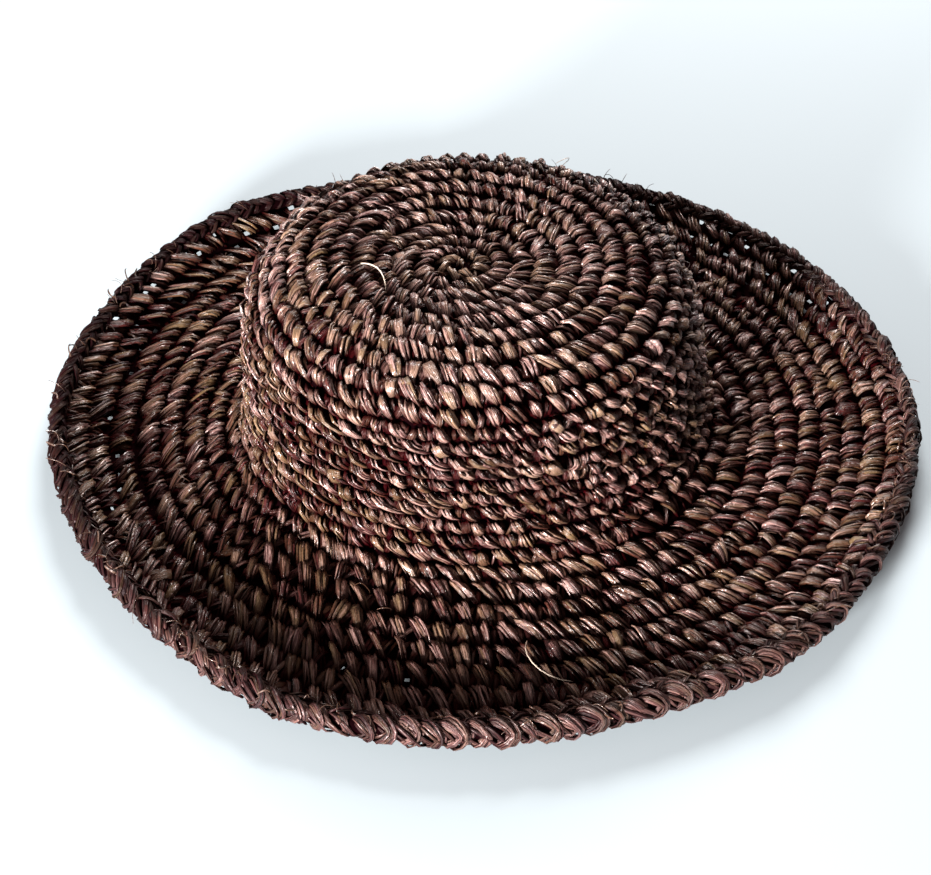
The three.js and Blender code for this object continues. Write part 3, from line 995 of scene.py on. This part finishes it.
def addRamp(tree, value, stops):
    # stops are (place, colour) pairs, the first at 0 and the last at 1
    node = tree.nodes.new("ShaderNodeValToRGB")
    elements = node.color_ramp.elements
    elements[0].color, elements[1].color = linear(stops[0][1]), linear(stops[-1][1])
    for place, color in stops[1:-1]:
        elements.new(place).color = linear(color)
    feed(tree, node.inputs["Fac"], value)
    return node.outputs["Color"]


def addBump(tree, height, distance, strength):
    node = tree.nodes.new("ShaderNodeBump")
    node.inputs["Strength"].default_value = strength
    node.inputs["Distance"].default_value = distance
    feed(tree, node.inputs["Height"], height)
    return node


def makeRaffia(name, look):
    material, tree, shader = newMaterial(name)
    shade = tree.nodes.new("ShaderNodeAttribute")
    shade.attribute_name = "shade"
    parts = tree.nodes.new("ShaderNodeSeparateColor")
    feed(tree, parts.inputs["Color"], shade.outputs["Color"])
    strandTone, strandKhaki, across = (parts.outputs[part] for part in ("Red", "Green", "Blue"))
    fibre = tree.nodes.new("ShaderNodeUVMap")
    fibre.uv_map = "fibre"

    # the fibres' light and dark lines, with crisp edges
    streaks = addNoise(tree, fibre.outputs["UV"], look["fibreScale"], 2)
    lines = addRange(tree, streaks, look["fibreLines"], (0, 1), "SMOOTHSTEP")
    base = addMath(tree, "SUBTRACT", strandTone, look["fibreTone"] / 2)
    tone = addMath(tree, "MULTIPLY_ADD", lines, look["fibreTone"], base)
    dyed = addRamp(tree, tone, ((0, look["dark"]), (look["brownAt"], look["brown"]), (1, look["pale"])))
    khakiShare = addMath(tree, "MULTIPLY", strandKhaki, look["khakiShare"])
    color = addMix(tree, khakiShare, dyed, linear(look["khaki"]))

    # painted shade: strands are deep dark at their edges and where they lie deep, and their gloss fades with
    # it
    side = addMath(tree, "ABSOLUTE", addMath(tree, "SUBTRACT", across, 0.5))
    halfEdge = [share / 2 for share in look["edge"]]
    paintedEdgeLit = addRange(tree, side, halfEdge, (1, 0), "SMOOTHSTEP")
    paintedLit = addMath(tree, "MULTIPLY", shade.outputs["Alpha"], paintedEdgeLit)
    feed(tree, shader.inputs["Base Color"], addMix(tree, paintedLit, linear(look["paintedShade"]), color))

    shine = addRange(tree, strandTone, (0, 1), look["gloss"])
    feed(tree, shader.inputs["Specular IOR Level"], addMath(tree, "MULTIPLY", shine, paintedLit))
    feed(tree, shader.inputs["Roughness"], addRange(tree, lines, (0, 1), look["rough"]))
    shader.inputs["Specular Tint"].default_value = linear(look["sheen"])

    crumples = addNoise(tree, fibre.outputs["UV"], look["crumpleScale"], 1)
    crumple = addBump(tree, crumples, look["crumpleDepth"] * mm, look["bump"])
    bump = addBump(tree, lines, look["fibreDepth"] * mm, look["bump"])
    feed(tree, bump.inputs["Normal"], crumple.outputs["Normal"])
    feed(tree, shader.inputs["Normal"], bump.outputs["Normal"])
    return material


def makeGapShade(name, look):
    material, tree, shader = newMaterial(name)
    place = tree.nodes.new("ShaderNodeTexCoord")
    noise = tree.nodes.new("ShaderNodeTexNoise")
    noise.inputs["Scale"].default_value = look["noiseScale"]
    feed(tree, noise.inputs["Vector"], place.outputs["Object"])
    dark, light = (tuple(share * c for c in look["color"]) for share in look["shares"])
    feed(tree, shader.inputs["Base Color"], addRamp(tree, noise.outputs["Fac"], ((0, dark), (1, light))))
    shader.inputs["Roughness"].default_value = look["rough"]
    shader.inputs["Specular IOR Level"].default_value = 0
    return material


raffia = makeRaffia("raffia", raffiaLook)
raffiaEdge = makeRaffia("raffiaEdge", edgeLook)
looseFibre = makeRaffia("looseFibre", fibreLook)
gapShade = makeGapShade("gapShade", gapShadeLook)

allCounts = stitchCounts()
print(len(allCounts), "stitches")

crownEnd, brimEnd = hatSurface["crownEnd"], hatSurface["brimEnd"]
crownCore = makeGapLayer("crown_gap_shade", 0, crownEnd, gapLayer["crownSteps"], gapShade)
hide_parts("crown")

# Each stretch of the spiral is a piece of its own: name, first and last round, solid
stretches = (
    ("tip_stitches", 0, 8.5, "crown"),
    ("upper_wall_stitches", 8.5, 14.5, "crown"),
    ("lower_wall_stitches", 14.5, crownEnd, "crown"),
    ("inner_brim_stitches", crownEnd, 24.8, "brim"),
    ("outer_brim_stitches", 24.8, 29, "brim"),
)


def between(values, ends):
    return (values > ends[0]) & (values < ends[1])


stretchBatches = {}
for name, first, last, _ in stretches:
    counts = allCounts[(allCounts >= first) & (allCounts < last)]
    azimuths = np.mod(spiralAzimuth(counts), 2 * math.pi)
    onRidge = between(azimuths, ribbons["azimuth"]) & between(counts, ribbons["rounds"])
    broad = luck.random(len(counts)) < np.where(onRidge, ribbons["share"], ribbons["elsewhere"])
    stretchBatches[name] = [
        legBatch(frontLeg, counts),
        legBatch(backLeg, counts),
        legBatch(toothLeg, counts[broad]),
    ]
    stretchBatches[name + "_inside"] = [legBatch(innerLeg, counts, inner=True)]

onBrim = [name for name in stretchBatches if "brim" in name]
holes = choosePinholes([batch for name in onBrim for batch in stretchBatches[name]])
for name in onBrim:
    stretchBatches[name] = [openPinholes(batch, holes) for batch in stretchBatches[name]]
print(len(holes), "pinholes")

for name, _, _, node in stretches:
    for side in (name, name + "_inside"):
        piece = strandPiece(side, stretchBatches[side], raffia)
        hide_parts(node)

brimCoreEnd = brimEnd + gapLayer["intoRim"]
brimCore = makeGapLayer("brim_gap_shade", crownEnd, brimCoreEnd, gapLayer["brimSteps"], gapShade, holes)
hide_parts("brim")

looseHairs = strandPiece("loose_fibres", [fibreBatch()], looseFibre)
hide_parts("brim")

rimBatches = [chainBatch(arm) for arm in (outerArm, innerArm, underArms)]
rimBraid = strandPiece("rim_braid", rimBatches, raffiaEdge)
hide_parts("brim_edge")

rimGapLayer = makeBraidGapLayer("rim_gap_shade", gapShade)
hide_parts("brim_edge")

# Camera: above the front of the hat, looking down on it
camera = {
    "elevation": 47.37 * degree,
    "distance": 0.72,
    "target": (-8.1, -38.5, 37),    # millimetres
    "lens": 67.3, "sensor": 36,     # millimetres
}


def makeCamera():
    data = bpy.data.cameras.new("photoCamera")
    data.lens = camera["lens"]
    data.sensor_width = camera["sensor"]
    data.sensor_fit = "HORIZONTAL"
    eye = addObject("photoCamera", data)
    target = Vector(camera["target"]) * mm
    back = Vector((0, -math.cos(camera["elevation"]), math.sin(camera["elevation"])))
    eye.location = target + back * camera["distance"]
    eye.rotation_euler = (-back).to_track_quat("-Z", "Y").to_euler()
    bpy.context.scene.camera = eye


# Studio: a low soft light from the front left, a high wide one from behind, and a pale floor
studio = {
    "key": {"azimuth": -31 * degree, "elevation": 12 * degree, "distance": 1.4, "size": 0.35, "power": 98},
    "back": {"azimuth": 170 * degree, "elevation": 42 * degree, "distance": 1.4, "size": 0.7, "power": 34},
    "world": 0.26, "worldColor": (1, 0.84, 0.84),
    "floor": (0.41, 0.458, 0.48), "floorRough": 0.8, "floorHalf": 3,
}


def makeLight(name, settings):
    data = bpy.data.lights.new(name, "AREA")
    data.shape = "DISK"
    data.size = settings["size"]
    data.energy = settings["power"]
    lamp = addObject(name, data)
    away = Vector((
        math.sin(settings["azimuth"]) * math.cos(settings["elevation"]),
        -math.cos(settings["azimuth"]) * math.cos(settings["elevation"]),
        math.sin(settings["elevation"]),
    ))
    lamp.location = away * settings["distance"]
    lamp.rotation_euler = (-away).to_track_quat("-Z", "Y").to_euler()


def makeStudio():
    makeLight("keyLight", studio["key"])
    makeLight("backLight", studio["back"])
    world = bpy.data.worlds.new("studio")
    world.use_nodes = True
    sky = world.node_tree.nodes["Background"]
    sky.inputs["Color"].default_value = linear(studio["worldColor"])
    sky.inputs["Strength"].default_value = studio["world"]
    bpy.context.scene.world = world
    ground = bmesh.new()
    bmesh.ops.create_grid(ground, x_segments=1, y_segments=1, size=studio["floorHalf"])
    floor = addObject("floor", meshOf("floor", ground))
    paint, _, shader = newMaterial("paleFloor")
    shader.inputs["Base Color"].default_value = linear(studio["floor"])
    shader.inputs["Roughness"].default_value = studio["floorRough"]
    floor.data.materials.append(paint)
    bpy.context.scene.view_settings.view_transform = "Standard"


makeCamera()
makeStudio()
print("camera, lights and floor")
